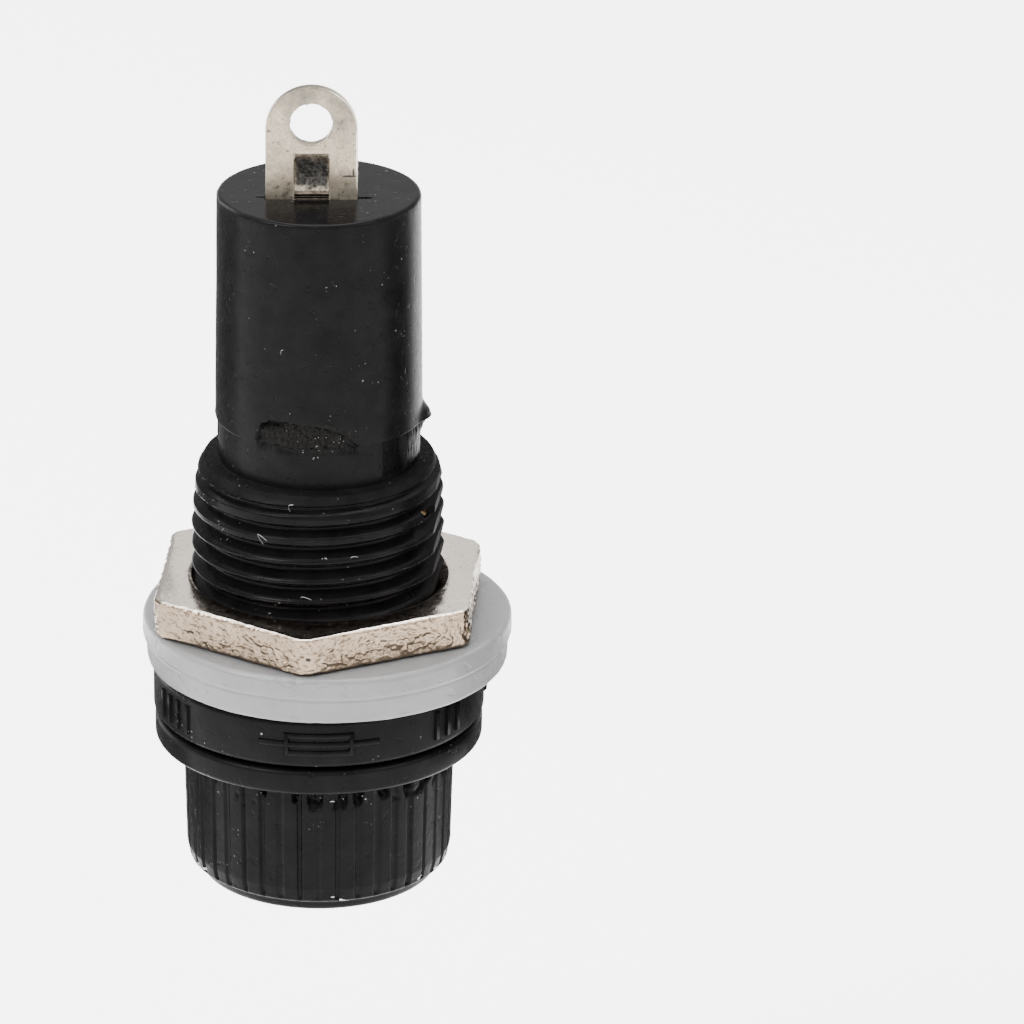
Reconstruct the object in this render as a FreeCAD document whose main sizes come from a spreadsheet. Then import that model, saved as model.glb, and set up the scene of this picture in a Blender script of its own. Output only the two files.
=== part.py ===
import FreeCAD, Part
import math
import os
import Sketcher

# Panel-mount holder for a 5 x 20 mm cartridge fuse.
# Origin: on the axis, in the plane of the bezel's rear face, which seats on the panel.
# +Z points from the screw cap at the front to the solder lugs at the rear. Units are mm.

SIZES = {
    # bezel, threaded barrel, neck and tube of the insulating body
    "bezel_radius": 7.85, "bezel_depth": 2.45, "bezel_edge": 0.3,
    "recess_radius": 5.9, "recess_depth": 0.5,
    "thread_radius": 6.0, "thread_root": 5.42, "thread_length": 10.25, "thread_pitch": 1.0,
    "thread_end_chamfer": 0.6, "thread_start": 0.9, "thread_flat_distance": 5.7,
    "neck_radius": 4.7, "neck_end": 12.3,
    "tube_front_radius": 4.85, "tube_rear_radius": 4.74, "tube_end": 23.3, "tube_edge": 0.3,
    "bore_radius": 2.85, "bore_end": 22.2, "counterbore_end": 9.0,
    "entry_radius": 4.6, "entry_end": -1.6,
    "key_width": 1.4, "key_height": 1.3, "key_proud": 0.15,
    "burr_radius": 0.45, "burr_height": 12.3,
    # brass sleeve fixed in the body
    "sleeve_radius": 4.95, "sleeve_end": 8.6, "sleeve_minor": 4.02, "sleeve_major": 4.44,
    "sleeve_tab_height": 8.3, "sleeve_tab_reach": 5.48, "sleeve_tab_width": 0.9,
    "cap_lead": 1.5,
    # side terminal: a ring clamped behind the sleeve, with a slanted strip
    "ring_inner": 3.05, "side_thickness": 0.45, "side_width": 3.0, "side_foot_radius": 3.6,
    "side_lug_centre": 9.7, "lug_hole_radius": 1.0, "slot_clearance": 0.05,
    # end terminal: a disc foot inside, and a flat lug through the end wall
    "end_thickness": 0.55, "end_lug_width": 4.25, "end_lug_front": -1.2, "end_lug_centre": 26.6,
    "end_lug_shift": -0.34, "end_hole_centre": 26.95,
    "foot_radius": 2.75, "foot_thickness": 0.5, "end_slot_width": 5.4,
    "tongue_width": 1.6, "tongue_base": 23.45, "tongue_top": 25.5, "tongue_bend": 0.4,
    # rear contact
    "plunger_radius": 2.75, "plunger_front": 19.02, "plunger_wall": 0.3, "plunger_depth": 1.3,
    "spring_radius": 1.9, "spring_wire": 0.22, "spring_turns": 3.2,
    # washer and nut
    "washer_radius": 8.75, "washer_hole": 6.42, "washer_base": 0.1, "washer_thickness": 2.32,
    "washer_shift": 0.4, "washer_groove": 0.12,
    "nut_across_flats": 14.9, "nut_base": 2.45, "nut_thickness": 1.9, "nut_minor": 5.52,
    "nut_major": 6.07, "nut_edge": 0.35,
    # screw cap
    "cap_face": -10.8, "cap_face_radius": 5.4, "grip_front_radius": 6.3, "grip_rear_radius": 6.45,
    "grip_front": -10.0, "flange_front": -3.9, "flange_rear": -2.65, "flange_radius": 7.78,
    "flange_edge": 0.25, "spigot_radius": 5.6, "spigot_end": -2.05, "stem_radius": 3.3,
    "flute_root": 6.08, "flute_half_width": 0.2, "flute_count": 42,
    # fuse carrier on the cap
    "carrier_front": -1.92, "carrier_floor": -1.52, "carrier_end": 6.3, "carrier_radius": 4.35,
    "carrier_root": 3.92, "carrier_bore": 3.45,
    "clip_sheet": 0.25, "clip_mouth": 3.25, "clip_grip_radius": 2.63, "clip_end": 4.8, "clip_slot": 0.8,
    "pin_radius": 0.8, "pin_head_radius": 1.5, "pin_head": 0.22, "pin_front": -5.5,
    # 5 x 20 fuse
    "fuse_front": -1.0, "fuse_length": 20.0, "ferrule_radius": 2.6, "ferrule_length": 5.2,
    "ferrule_wall": 0.2, "glass_wall": 0.6, "fuse_wire_radius": 0.1, "solder_depth": 1.1,
}

SIDE_BEARING = 58.0      # degrees from +X towards +Y, side of the slanted lug
SIDE_SLANT = 13.5        # degrees between the side lug and the axis
FLAT_BEARING = -9.0      # middle of the flat along the thread
TAB_BEARING = -28.3      # sleeve tab
NECK_GROOVE_BEARING = -42.0
NUT_TURN = -4.7          # turn of the nut about the axis

doc = FreeCAD.newDocument("fuse_holder")
sheet = doc.addObject("Spreadsheet::Sheet", "dims")
for row, (word, number) in enumerate(SIZES.items(), start=1):
    sheet.set("A%d" % row, word)
    sheet.set("B%d" % row, str(number))
    sheet.setAlias("B%d" % row, word)
doc.recompute()


class Size:
    """A length that carries both its number and its formula on the sheet."""

    def __init__(self, value, formula):
        self.value = float(value)
        self.formula = formula

    def __add__(self, other):
        other = as_size(other)
        return Size(self.value + other.value, "(%s + %s)" % (self.formula, other.formula))

    def __sub__(self, other):
        other = as_size(other)
        return Size(self.value - other.value, "(%s - %s)" % (self.formula, other.formula))

    def __mul__(self, other):
        other = as_size(other)
        return Size(self.value * other.value, "(%s * %s)" % (self.formula, other.formula))

    def __neg__(self):
        return Size(-self.value, "(0 - %s)" % self.formula)


def as_size(thing):
    if isinstance(thing, Size):
        return thing
    return Size(thing, "%.6f" % thing)


def size(word):
    return Size(SIZES[word], "dims.%s" % word)


def new_body(name):
    body = doc.addObject("PartDesign::Body", name)
    body.Label = name
    return body


def origin_part(body, role):
    return [part for part in body.Origin.OriginFeatures if part.Role == role][0]


def new_sketch(body, name, role="XZ_Plane", lift=None, placement=None):
    sketch = body.newObject("Sketcher::SketchObject", name)
    sketch.AttachmentSupport = [(origin_part(body, role), "")]
    sketch.MapMode = "FlatFace"
    if placement is not None:
        sketch.AttachmentOffset = placement
    if lift is not None:
        sketch.AttachmentOffset = FreeCAD.Placement(
            FreeCAD.Vector(0, 0, lift.value), sketch.AttachmentOffset.Rotation)
        sketch.setExpression("AttachmentOffset.Base.z", lift.formula)
    return sketch


def pin_point(sketch, line, end, point):
    """Hold one end of a line, or a circle's centre, at a point from the sketch's origin."""
    for axis, value in (("DistanceX", as_size(point[0])), ("DistanceY", as_size(point[1]))):
        held = sketch.addConstraint(Sketcher.Constraint(axis, -1, 1, line, end, value.value))
        if "dims." in value.formula:
            sketch.setExpression("Constraints[%d]" % held, value.formula)


def draw_polygon(sketch, corners):
    numbers = [(as_size(x).value, as_size(y).value) for x, y in corners]
    first = sketch.GeometryCount
    count = len(corners)
    for index in range(count):
        start = FreeCAD.Vector(numbers[index][0], numbers[index][1], 0)
        after = numbers[(index + 1) % count]
        sketch.addGeometry(Part.LineSegment(start, FreeCAD.Vector(after[0], after[1], 0)), False)
    for index in range(count):
        following = first + (index + 1) % count
        sketch.addConstraint(Sketcher.Constraint("Coincident", first + index, 2, following, 1))
    for index, corner in enumerate(corners):
        pin_point(sketch, first + index, 1, corner)


def draw_circle(sketch, centre, radius):
    middle = FreeCAD.Vector(as_size(centre[0]).value, as_size(centre[1]).value, 0)
    circle = sketch.addGeometry(
        Part.Circle(middle, FreeCAD.Vector(0, 0, 1), as_size(radius).value), False)
    held = sketch.addConstraint(Sketcher.Constraint("Radius", circle, as_size(radius).value))
    if "dims." in as_size(radius).formula:
        sketch.setExpression("Constraints[%d]" % held, as_size(radius).formula)
    pin_point(sketch, circle, 3, centre)


def rectangle(left, right, bottom, top):
    return [(left, bottom), (right, bottom), (right, top), (left, top)]


def turn(body, name, corners, cut=False):
    """Revolve an outline (radius, height) about the Z axis, to add or to cut."""
    sketch = new_sketch(body, name + "_outline")
    draw_polygon(sketch, corners)
    doc.recompute()
    kind = "PartDesign::Groove" if cut else "PartDesign::Revolution"
    feature = body.newObject(kind, name)
    feature.Profile = sketch
    feature.ReferenceAxis = (origin_part(body, "Z_Axis"), [""])
    feature.Angle = 360
    doc.recompute()
    return feature


def extrude(body, name, sketch, length, cut=False, both_ways=False, backwards=False):
    doc.recompute()
    feature = body.newObject("PartDesign::Pocket" if cut else "PartDesign::Pad", name)
    feature.Profile = sketch
    feature.Length = as_size(length).value
    if "dims." in as_size(length).formula:
        feature.setExpression("Length", as_size(length).formula)
    feature.Midplane = both_ways
    feature.Reversed = backwards
    before = body.Shape.Volume if body.Shape and not body.Shape.isNull() else 0.0
    doc.recompute()
    if cut and abs(feature.Shape.Volume - before) < 1e-6:
        raise RuntimeError("%s in %s removes nothing" % (name, body.Label))
    return feature


def helix_cut(body, name, corners, start, pitch, rise):
    """Cut a right-hand helical groove whose section is given about its own middle."""
    sketch = new_sketch(body, name + "_section")
    draw_polygon(sketch, [(radius, as_size(start) + height) for radius, height in corners])
    doc.recompute()
    feature = body.newObject("PartDesign::SubtractiveHelix", name)
    feature.Profile = sketch
    feature.ReferenceAxis = (origin_part(body, "Z_Axis"), [""])
    feature.Mode = 0
    feature.Pitch = pitch.value
    feature.setExpression("Pitch", pitch.formula)
    feature.Height = as_size(rise).value
    feature.Angle = 0
    doc.recompute()
    return feature


def mirrored(section):
    """Close a half section (radius, half width) into a section symmetric about height 0."""
    return section + [(radius, -as_size(half)) for radius, half in reversed(section)]


def facing(bearing, slant=0.0, radius=0.0, height=0.0):
    """Plane whose normal points outwards at a bearing, with its own Y axis along +Z.

    A slant leans the plane's Y axis outwards.
    """
    bearing = math.radians(bearing)
    slant = math.radians(slant)
    outward = FreeCAD.Vector(math.cos(bearing), math.sin(bearing), 0)
    across = FreeCAD.Vector(-math.sin(bearing), math.cos(bearing), 0)
    along = outward * math.sin(slant) + FreeCAD.Vector(0, 0, math.cos(slant))
    normal = across.cross(along)
    rotation = FreeCAD.Rotation(across, along, normal, "XYZ")
    return FreeCAD.Placement(outward * radius + FreeCAD.Vector(0, 0, height), rotation)


def edges_where(shape, test):
    return ["Edge%d" % (index + 1) for index, edge in enumerate(shape.Edges) if test(edge)]


def circle_at(radius, height):
    def test(edge):
        curve = edge.Curve
        return (isinstance(curve, Part.Circle) and abs(curve.Radius - radius) < 0.005
                and abs(curve.Center.z - height) < 0.005)
    return test


def soften(body, name, radius, height, width, rounded=True):
    """Round or chamfer the circular edge at a radius and height on the body's last feature."""
    last = body.Tip
    names = edges_where(last.Shape, circle_at(as_size(radius).value, as_size(height).value))
    if not names:
        raise RuntimeError("%s finds no edge on %s" % (name, body.Label))
    feature = body.newObject("PartDesign::Fillet" if rounded else "PartDesign::Chamfer", name)
    feature.Base = (last, names)
    property_name = "Radius" if rounded else "Size"
    setattr(feature, property_name, as_size(width).value)
    if "dims." in as_size(width).formula:
        feature.setExpression(property_name, as_size(width).formula)
    doc.recompute()
    return feature


def make_holder_body():
    body = new_body("holder_body")
    front = -size("bezel_depth")
    recess = front + size("recess_depth")
    turn(body, "shell", [
        (size("recess_radius"), front),
        (size("bezel_radius"), front),
        (size("bezel_radius"), 0.0),
        (size("thread_radius"), 0.0),
        (size("thread_radius"), size("thread_length") - size("thread_end_chamfer")),
        (size("thread_radius") - size("thread_end_chamfer"), size("thread_length")),
        (size("neck_radius"), size("thread_length")),
        (size("neck_radius"), size("neck_end")),
        (size("tube_front_radius"), size("neck_end")),
        (size("tube_rear_radius"), size("tube_end")),
        (0.0, size("tube_end")),
        (0.0, size("bore_end")),
        (size("bore_radius"), size("bore_end")),
        (size("bore_radius"), size("counterbore_end")),
        (size("sleeve_radius"), size("counterbore_end")),
        (size("sleeve_radius"), size("entry_end")),
        (size("entry_radius"), size("entry_end")),
        (size("entry_radius"), recess),
        (size("recess_radius"), recess),
    ])
    soften(body, "bezel_front_round", size("bezel_radius"), front, size("bezel_edge"))
    soften(body, "bezel_rear_chamfer", size("bezel_radius"), 0.0, size("bezel_edge"), False)
    soften(body, "tube_end_round", size("tube_rear_radius"), size("tube_end"), size("tube_edge"))
    helix_cut(body, "panel_thread", mirrored([
        (size("thread_root"), 0.08), (5.90, 0.357), (5.97, 0.42), (6.0, 0.475), (6.2, 0.475),
    ]), size("thread_start"), size("thread_pitch"), SIZES["thread_length"])
    flat = new_sketch(body, "thread_flat_outline", "XY_Plane",
                      placement=facing(FLAT_BEARING, 0.0, SIZES["thread_flat_distance"]))
    draw_polygon(flat, rectangle(-4.0, 4.0, 0.0, size("thread_length")))
    extrude(body, "thread_flat", flat, 2.0, cut=True, backwards=True)
    strip = new_sketch(body, "side_slot_outline", "XY_Plane",
                       placement=facing(SIDE_BEARING, SIDE_SLANT, SIZES["side_foot_radius"],
                                        SIZES["counterbore_end"]))
    half = size("side_width") * 0.5 + size("slot_clearance")
    draw_polygon(strip, rectangle(-half, half, -0.4, 12.0))
    extrude(body, "side_slot", strip, size("side_thickness") + size("slot_clearance") * 2,
            cut=True, both_ways=True)
    slot = new_sketch(body, "end_slot_outline", "XY_Plane", lift=size("bore_end") - 0.1)
    back = size("end_lug_front") + size("end_thickness")
    half = size("end_slot_width") * 0.5
    shift = size("end_lug_shift")
    draw_polygon(slot, rectangle(shift - half, shift + half,
                                 size("end_lug_front") - size("slot_clearance"),
                                 back + size("slot_clearance")))
    extrude(body, "end_slot", slot, 1.4, cut=True, backwards=True)
    tab = new_sketch(body, "tab_window_outline", "XY_Plane",
                     placement=facing(TAB_BEARING, 0.0, 4.8, SIZES["sleeve_tab_height"]))
    half = size("sleeve_tab_width") * 0.5
    draw_polygon(tab, rectangle(-half, half, -0.25, 0.25))
    extrude(body, "tab_window", tab, 1.6, cut=True, backwards=True)
    groove = new_sketch(body, "neck_groove_outline", "XY_Plane",
                        placement=facing(NECK_GROOVE_BEARING, 0.0, 4.5))
    draw_polygon(groove, rectangle(-0.5, 0.5, size("thread_length") + 0.05, size("neck_end")))
    extrude(body, "neck_groove", groove, 0.5, cut=True, backwards=True)
    key = new_sketch(body, "key_outline", "XY_Plane",
                     placement=facing(0.0, 0.0, 7.5))
    half = size("key_width") * 0.5
    draw_polygon(key, rectangle(-half, half, -size("key_height") - 0.35, -0.35))
    extrude(body, "key", key, size("bezel_radius") - 7.5 + size("key_proud"))
    burr = new_sketch(body, "burr_outline", "XZ_Plane")
    draw_circle(burr, (size("tube_front_radius") - 0.05, size("burr_height")),
                size("burr_radius"))
    extrude(body, "burr", burr, 1.3, both_ways=True)
    return body


def make_contact_sleeve():
    body = new_body("contact_sleeve")
    turn(body, "tube", rectangle(size("sleeve_minor"), size("sleeve_radius"),
                                 size("entry_end"), size("sleeve_end")))
    tab = new_sketch(body, "tab_outline", "XY_Plane",
                     placement=facing(TAB_BEARING, 0.0, 4.6, SIZES["sleeve_tab_height"]))
    half = size("sleeve_tab_width") * 0.5 - 0.03
    draw_polygon(tab, rectangle(-half, half, -0.22, 0.22))
    extrude(body, "tab", tab, size("sleeve_tab_reach") - 4.6)
    helix_cut(body, "cap_thread", mirrored([(3.9, 0.67), (size("sleeve_major"), 0.32)]),
              size("entry_end") - 1.5 + size("cap_lead") * 0.5, size("cap_lead"), 13.5)
    return body


def make_side_terminal():
    body = new_body("side_terminal")
    ring = new_sketch(body, "ring_outline", "XY_Plane", lift=size("sleeve_end"))
    draw_circle(ring, (0.0, 0.0), size("sleeve_radius"))
    draw_circle(ring, (0.0, 0.0), size("ring_inner"))
    extrude(body, "ring", ring, size("counterbore_end") - size("sleeve_end"))
    plane = facing(SIDE_BEARING, SIDE_SLANT, SIZES["side_foot_radius"],
                   SIZES["counterbore_end"])
    half = size("side_width") * 0.5
    strip = new_sketch(body, "strip_outline", "XY_Plane", placement=plane)
    draw_polygon(strip, rectangle(-half, half, -0.2, size("side_lug_centre")))
    extrude(body, "strip", strip, size("side_thickness"), both_ways=True)
    head = new_sketch(body, "head_outline", "XY_Plane", placement=plane)
    draw_circle(head, (0.0, size("side_lug_centre")), half)
    extrude(body, "head", head, size("side_thickness"), both_ways=True)
    hole = new_sketch(body, "hole_outline", "XY_Plane", placement=plane)
    draw_circle(hole, (0.0, size("side_lug_centre")), size("lug_hole_radius"))
    extrude(body, "hole", hole, 2.0, cut=True, both_ways=True)
    return body


def make_end_terminal():
    body = new_body("end_terminal")
    foot_base = size("bore_end") - size("foot_thickness")
    foot = new_sketch(body, "foot_outline", "XY_Plane", lift=foot_base)
    draw_circle(foot, (0.0, 0.0), size("foot_radius"))
    extrude(body, "foot", foot, size("foot_thickness"))
    trim = new_sketch(body, "foot_trim_outline", "XY_Plane", lift=foot_base)
    draw_polygon(trim, rectangle(-3.0, 3.0, -3.0, size("end_lug_front")))
    extrude(body, "foot_trim", trim, 1.0, cut=True, backwards=True)
    middle = size("end_lug_front") + size("end_thickness") * 0.5
    shift = size("end_lug_shift")
    half = size("end_lug_width") * 0.5
    lug = new_sketch(body, "lug_outline", "XZ_Plane", lift=-middle)
    draw_polygon(lug, rectangle(shift - half, shift + half, foot_base, size("end_lug_centre")))
    extrude(body, "lug", lug, size("end_thickness"), both_ways=True)
    head = new_sketch(body, "head_outline", "XZ_Plane", lift=-middle)
    draw_circle(head, (shift, size("end_lug_centre")), half)
    extrude(body, "head", head, size("end_thickness"), both_ways=True)
    hole = new_sketch(body, "hole_outline", "XZ_Plane", lift=-middle)
    draw_circle(hole, (shift, size("end_hole_centre")), size("lug_hole_radius"))
    extrude(body, "hole", hole, 2.0, cut=True, both_ways=True)
    window = new_sketch(body, "window_outline", "XZ_Plane", lift=-middle)
    half = size("tongue_width") * 0.5
    draw_polygon(window, rectangle(shift - half, shift + half,
                                   size("tongue_base"), size("tongue_top")))
    extrude(body, "window", window, 2.0, cut=True, both_ways=True)
    tongue = new_sketch(body, "tongue_outline", "YZ_Plane", lift=shift)
    front = size("end_lug_front")
    bend = size("tongue_bend")
    tip = size("tongue_base") + 0.3
    draw_polygon(tongue, [
        (front + 0.05, size("tongue_top") + 0.05), (front + bend, tip),
        (front + bend + 0.45, tip + 0.12),
        (front + size("end_thickness"), size("tongue_top") + 0.05),
    ])
    extrude(body, "tongue", tongue, size("tongue_width") - 0.15, both_ways=True)
    return body


def make_contact_plunger():
    body = new_body("contact_plunger")
    front = size("plunger_front")
    wall = size("plunger_wall")
    rear = front + size("plunger_depth")
    turn(body, "cup", [
        (0.0, front), (size("plunger_radius"), front), (size("plunger_radius"), rear),
        (size("plunger_radius") - wall, rear), (size("plunger_radius") - wall, front + wall),
        (0.0, front + wall),
    ])
    return body


def make_contact_spring():
    body = new_body("contact_spring")
    wire = size("spring_wire")
    bottom = size("plunger_front") + size("plunger_wall") + wire
    top = size("bore_end") - size("foot_thickness") - wire
    section = new_sketch(body, "wire_section")
    draw_circle(section, (size("spring_radius"), bottom), wire)
    doc.recompute()
    coil = body.newObject("PartDesign::AdditiveHelix", "coil")
    coil.Profile = section
    coil.ReferenceAxis = (origin_part(body, "Z_Axis"), [""])
    coil.Mode = 2
    coil.Height = (top - bottom).value
    coil.setExpression("Height", (top - bottom).formula)
    coil.Turns = SIZES["spring_turns"]
    coil.setExpression("Turns", "dims.spring_turns")
    coil.Angle = 0
    doc.recompute()
    return body


def make_nylon_washer():
    body = new_body("nylon_washer")
    base = size("washer_base")
    top = base + size("washer_thickness")
    middle = base + size("washer_thickness") * 0.5
    depth = size("washer_groove")
    outer = size("washer_radius")
    turn(body, "ring", [
        (size("washer_hole"), base), (outer - 0.1, base), (outer - 0.1, middle - 0.12),
        (outer - 0.1 - depth, middle - 0.05), (outer - depth, middle + 0.05),
        (outer, middle + 0.12), (outer, top), (size("washer_hole"), top),
    ])
    soften(body, "rear_round", outer, top, 0.25)
    soften(body, "front_round", outer - 0.1, base, 0.25)
    body.Placement.Base.x = SIZES["washer_shift"]
    body.setExpression("Placement.Base.x", "dims.washer_shift")
    return body


def make_hex_nut():
    body = new_body("hex_nut")
    base = size("nut_base")
    top = base + size("nut_thickness")
    corner = SIZES["nut_across_flats"] / math.sqrt(3.0)
    edge = size("nut_edge")
    turn(body, "blank", [
        (size("nut_minor"), base), (corner, base), (corner, top - edge),
        (corner - 1.3, top), (size("nut_minor"), top),
    ])
    start = FreeCAD.Placement(FreeCAD.Vector(0, 0, 0),
                              FreeCAD.Rotation(FreeCAD.Vector(0, 0, 1), NUT_TURN + 30.0))
    flats = new_sketch(body, "flats_outline", "XY_Plane", placement=start,
                       lift=base - 1.0)
    across = size("nut_across_flats")
    hexagon = []
    for index in range(6):
        angle = math.radians(60.0 * index)
        hexagon.append((across * (math.cos(angle) / math.sqrt(3.0)),
                        across * (math.sin(angle) / math.sqrt(3.0))))
    draw_polygon(flats, hexagon)
    draw_circle(flats, (0.0, 0.0), 12.0)
    extrude(body, "flats", flats, 4.0, cut=True, backwards=True)
    soften(body, "rear_hole_chamfer", size("nut_minor"), top, 0.45, False)
    helix_cut(body, "nut_thread", mirrored([(5.35, 0.51), (size("nut_major"), 0.093)]),
              size("thread_start") + size("thread_pitch") * 0.5, size("thread_pitch"), 5.0)
    return body


def make_screw_cap():
    body = new_body("screw_cap")
    turn(body, "knob", [
        (0.0, size("cap_face")), (size("cap_face_radius"), size("cap_face")),
        (size("grip_front_radius") - 0.3, size("cap_face") + 0.3),
        (size("grip_front_radius"), size("cap_face") + 0.85),
        (size("grip_rear_radius"), size("flange_front")),
        (size("flange_radius"), size("flange_front")),
        (size("flange_radius"), size("flange_rear")),
        (size("spigot_radius"), size("flange_rear")),
        (size("spigot_radius"), size("spigot_end")),
        (size("stem_radius"), size("spigot_end")),
        (size("stem_radius"), size("carrier_front")),
        (size("pin_radius"), size("carrier_front")),
        (size("pin_radius"), size("pin_front")),
        (0.0, size("pin_front")),
    ])
    soften(body, "flange_front_round", size("flange_radius"), size("flange_front"),
           size("flange_edge"))
    soften(body, "flange_rear_round", size("flange_radius"), size("flange_rear"),
           size("flange_edge"))
    flute = new_sketch(body, "flute_outline", "XY_Plane", lift=size("grip_front"))
    draw_polygon(flute, [(size("flute_root"), 0.0),
                         (size("flute_root") + 0.5, -size("flute_half_width")),
                         (size("flute_root") + 0.5, size("flute_half_width"))])
    cut = extrude(body, "flute", flute, size("flange_front") - size("grip_front"),
                  cut=True, backwards=True)
    flutes = body.newObject("PartDesign::PolarPattern", "flutes")
    flutes.Originals = [cut]
    flutes.Axis = (origin_part(body, "Z_Axis"), [""])
    flutes.Angle = 360
    body.Tip = flutes
    flutes.Occurrences = int(SIZES["flute_count"])
    doc.recompute()
    return body


def make_carrier_sleeve():
    body = new_body("carrier_sleeve")
    front = size("carrier_front")
    floor = size("carrier_floor")
    end = size("carrier_end")
    turn(body, "shell", [
        (size("pin_radius"), front), (size("carrier_radius"), front),
        (size("carrier_radius"), end - 0.4), (size("carrier_radius") - 0.4, end),
        (size("carrier_bore"), end), (size("carrier_bore"), floor),
        (size("pin_radius"), floor),
    ])
    helix_cut(body, "carrier_thread", mirrored([
        (size("carrier_root"), 0.2), (size("carrier_radius"), 0.5), (4.5, 0.6),
    ]), size("entry_end") - 1.5, size("cap_lead"), 13.5)
    return body


def make_carrier_clip():
    body = new_body("carrier_clip")
    floor = size("carrier_floor")
    sheet_thickness = size("clip_sheet")
    outer = size("carrier_bore") - 0.05
    grip = size("clip_grip_radius")
    end = size("clip_end")
    turn(body, "wall", [
        (size("pin_radius"), floor), (outer, floor), (outer, 0.6),
        (grip + sheet_thickness, 2.9), (grip + sheet_thickness, 3.4), (size("clip_mouth"), end),
        (size("clip_mouth") - sheet_thickness, end), (grip, 3.5), (grip, 2.8),
        (outer - sheet_thickness, 0.5), (outer - sheet_thickness, floor + sheet_thickness),
        (size("pin_radius"), floor + sheet_thickness),
    ])
    half = size("clip_slot") * 0.5
    for index, bearing in enumerate((0.0, 90.0)):
        slot = new_sketch(body, "slot_outline_%d" % index, "XY_Plane",
                          placement=facing(bearing))
        draw_polygon(slot, rectangle(-half, half, 0.2, end + 0.5))
        extrude(body, "slot_%d" % index, slot, 9.0, cut=True, both_ways=True)
    return body


def make_carrier_pin():
    body = new_body("carrier_pin")
    seat = size("carrier_floor") + size("clip_sheet")
    turn(body, "pin", [
        (0.0, size("pin_front")), (size("pin_radius"), size("pin_front")),
        (size("pin_radius"), seat), (size("pin_head_radius"), seat),
        (size("pin_head_radius") - 0.12, seat + size("pin_head")),
        (0.0, seat + size("pin_head")),
    ])
    return body


def make_ferrule(name, closed, opened):
    """A cup whose closed end is at one height and whose mouth is at another."""
    body = new_body(name)
    wall = size("ferrule_wall")
    outer = size("ferrule_radius")
    inward = wall if opened.value > closed.value else -wall
    turn(body, "cup", [
        (0.0, closed), (outer, closed), (outer, opened), (outer - wall, opened),
        (outer - wall, closed + inward), (0.0, closed + inward),
    ])
    soften(body, "end_round", outer, closed, 0.15)
    return body


def make_fuse():
    front = size("fuse_front")
    rear = front + size("fuse_length")
    wall = size("ferrule_wall")
    glass_outer = size("ferrule_radius") - wall
    glass_inner = glass_outer - size("glass_wall")
    make_ferrule("fuse_front_ferrule", front, front + size("ferrule_length"))
    make_ferrule("fuse_rear_ferrule", rear, rear - size("ferrule_length"))
    glass = new_body("fuse_glass_tube")
    turn(glass, "tube", rectangle(glass_inner, glass_outer, front + wall, rear - wall))
    wire = new_body("fuse_wire")
    turn(wire, "wire", rectangle(0.0, size("fuse_wire_radius"), front + wall, rear - wall))
    depth = size("solder_depth")
    for name, bottom, top in (
            ("fuse_front_solder", front + wall, front + wall + depth),
            ("fuse_rear_solder", rear - wall - depth, rear - wall)):
        solder = new_body(name)
        turn(solder, "plug", rectangle(size("fuse_wire_radius"), glass_inner, bottom, top))


make_holder_body()
make_contact_sleeve()
make_side_terminal()
make_end_terminal()
make_contact_plunger()
make_contact_spring()
make_nylon_washer()
make_hex_nut()
make_screw_cap()
make_carrier_sleeve()
make_carrier_clip()
make_carrier_pin()
make_fuse()
doc.recompute()

os.makedirs("parts", exist_ok=True)
for thing in doc.Objects:
    if "Invalid" in thing.State or "Error" in thing.State:
        raise RuntimeError("%s is in state %s" % (thing.Label, thing.State))
for body in [thing for thing in doc.Objects if thing.TypeId == "PartDesign::Body"]:
    shape = body.Shape
    if shape.isNull() or not shape.isValid() or len(shape.Solids) != 1:
        raise RuntimeError("%s is not one valid solid" % body.Label)
    shape.exportStep("parts/%s.step" % body.Label)
    print("%-20s %9.3f mm3  z %.2f to %.2f" % (
        body.Label, shape.Volume, shape.BoundBox.ZMin, shape.BoundBox.ZMax))
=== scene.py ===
import math
from functools import reduce
import bpy
import numpy as np
from mathutils import Matrix, Vector


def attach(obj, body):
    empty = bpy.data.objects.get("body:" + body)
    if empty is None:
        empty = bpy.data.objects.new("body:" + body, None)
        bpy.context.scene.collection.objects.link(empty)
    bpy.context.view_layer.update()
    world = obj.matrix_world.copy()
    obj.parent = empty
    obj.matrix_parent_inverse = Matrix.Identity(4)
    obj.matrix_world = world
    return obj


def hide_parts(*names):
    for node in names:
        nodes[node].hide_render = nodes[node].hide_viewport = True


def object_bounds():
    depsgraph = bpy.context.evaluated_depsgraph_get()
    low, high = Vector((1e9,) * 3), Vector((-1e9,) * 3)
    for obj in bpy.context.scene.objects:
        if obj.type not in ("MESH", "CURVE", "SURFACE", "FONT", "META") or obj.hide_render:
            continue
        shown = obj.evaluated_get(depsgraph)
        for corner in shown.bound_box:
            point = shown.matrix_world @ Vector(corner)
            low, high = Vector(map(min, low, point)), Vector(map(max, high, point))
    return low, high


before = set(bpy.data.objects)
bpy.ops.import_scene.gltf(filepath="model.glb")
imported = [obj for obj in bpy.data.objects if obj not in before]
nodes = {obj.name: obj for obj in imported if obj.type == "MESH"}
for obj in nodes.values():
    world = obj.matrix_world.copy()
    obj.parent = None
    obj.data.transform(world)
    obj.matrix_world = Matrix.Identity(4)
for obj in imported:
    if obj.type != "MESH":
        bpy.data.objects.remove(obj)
cad_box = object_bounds()

MM = 0.001
SIDE_BEARING = math.radians(58.0)
SIDE_SLANT = math.radians(13.5)
NUT_BEARING = math.radians(-64.7)

# How far the cap and the rear contact travel, in mm
CAP_TRAVEL = 24.0
CONTACT_TRAVEL = 0.6


# ---- camera, lights, floor

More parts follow.
